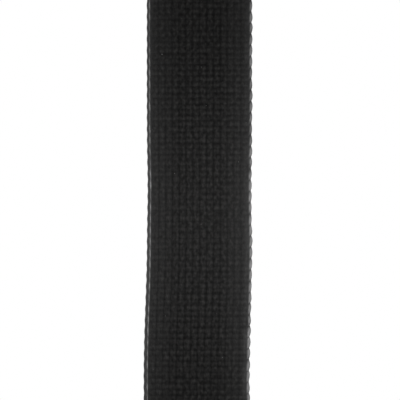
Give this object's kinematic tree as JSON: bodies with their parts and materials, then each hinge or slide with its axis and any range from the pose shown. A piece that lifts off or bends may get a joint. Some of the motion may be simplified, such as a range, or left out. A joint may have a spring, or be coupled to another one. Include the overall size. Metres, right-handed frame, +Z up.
{
  "type": "guitar strap",
  "caption": "Wide woven webbing guitar strap hung over a rail, with a slider, a ring and leather end tabs that have button holes.",
  "frame": {"origin": "the point inside the top of the arch, midway across the webbing, where a rail or peg carries the hung strap", "axes": "+Z up; X across the webbing; the plain front leg hangs at -Y and the adjustable rear leg at +Y"},
  "size_m": [0.062, 0.1092, 0.642],
  "materials": {
    "webbing": "matte",
    "leather": "satin",
    "plastic": "satin",
    "thread": "matte"
  },
  "bodies": {
    "strap_body": {"webbing_front_leg": "webbing", "webbing_arch": "webbing", "webbing_adjust_run": "webbing", "front_tab_face": "leather", "front_tab_back": "leather", "front_tab_stitching": "thread"},
    "loop_end": {"webbing_ring_fold": "webbing", "webbing_return_run": "webbing"},
    "slider": {"slider_frame": "plastic", "webbing_slider_fold": "webbing", "webbing_sewn_tail": "webbing", "slider_end_stitching": "thread"},
    "ring_body": {"ring": "plastic"},
    "rear_tab": {"rear_link_fold": "webbing", "rear_link_ends": "webbing", "rear_tab_face": "leather", "rear_tab_back": "leather", "rear_tab_stitching": "thread"}
  },
  "joints": [
    {"name": "loop_slide", "type": "slide", "parent": "strap_body", "child": "loop_end", "axis": [0, 0, 1], "range_m": [-0.1, 0.085], "deforming": ["webbing_adjust_run"]},
    {"name": "slider_slide", "type": "slide", "parent": "loop_end", "child": "slider", "axis": [0, 0, 1], "range_m": [-0.1, 0.085], "deforming": ["webbing_return_run"]},
    {"name": "ring_swing", "type": "hinge", "parent": "loop_end", "child": "ring_body", "pos_m": [0, 0.0472, -0.498], "axis": [1, 0, 0], "range_deg": [-20, 90]},
    {"name": "tab_swing", "type": "hinge", "parent": "ring_body", "child": "rear_tab", "pos_m": [0, 0.0472, -0.512], "axis": [1, 0, 0], "range_deg": [-20, 90]}
  ],
  "couplings": [
    {"joint": "slider_slide", "follows": "loop_slide", "ratio": 1}
  ]
}
